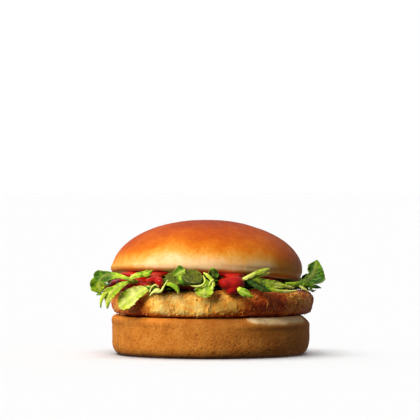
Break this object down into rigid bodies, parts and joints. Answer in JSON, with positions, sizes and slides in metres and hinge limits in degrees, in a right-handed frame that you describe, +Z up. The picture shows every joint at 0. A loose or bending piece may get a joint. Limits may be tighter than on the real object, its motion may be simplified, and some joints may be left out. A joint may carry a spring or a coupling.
{
  "type": "chicken burger",
  "caption": "Round-bun sandwich with a breaded chicken patty, ketchup, pickle slices and leaf lettuce, crown propped open at the front; stands on its flat bun bottom.",
  "frame": {"origin": "centre of the bottom bun's flat underside, where the burger stands", "axes": "+Z up out of the crown; -Y the front, where the dollop of ketchup hangs out; +X the burger's right as seen from the front"},
  "size_m": [0.1165, 0.1161, 0.0683],
  "materials": {
    "bun_crown": "satin",
    "bun_heel": "matte",
    "breading": "matte, crumbed",
    "ketchup": "wet gloss",
    "pickle": "wet gloss",
    "lettuce": "satin"
  },
  "bodies": {
    "root": {"bottom_bun": "bun_heel", "chicken_patty": "breading", "lettuce_bed": "lettuce", "ketchup": "ketchup", "pickle_slice_left": "pickle", "pickle_slice_right": "pickle", "top_bun": "bun_crown", "lettuce_left_long": "lettuce", "lettuce_left_feathery": "lettuce", "lettuce_left_round": "lettuce", "lettuce_left_small": "lettuce", "lettuce_front_curl": "lettuce", "lettuce_front_strip": "lettuce", "lettuce_front_behind": "lettuce", "lettuce_front_cup": "lettuce", "lettuce_front_dark": "lettuce", "lettuce_right_strip": "lettuce", "lettuce_front_small": "lettuce", "lettuce_right_dark": "lettuce", "lettuce_right_lobe": "lettuce", "lettuce_right_side": "lettuce", "lettuce_back_right": "lettuce", "lettuce_back_right_inner": "lettuce", "lettuce_back_middle": "lettuce", "lettuce_back_left_inner": "lettuce", "lettuce_back_left": "lettuce", "lettuce_left_side": "lettuce"}
  },
  "joints": []
}
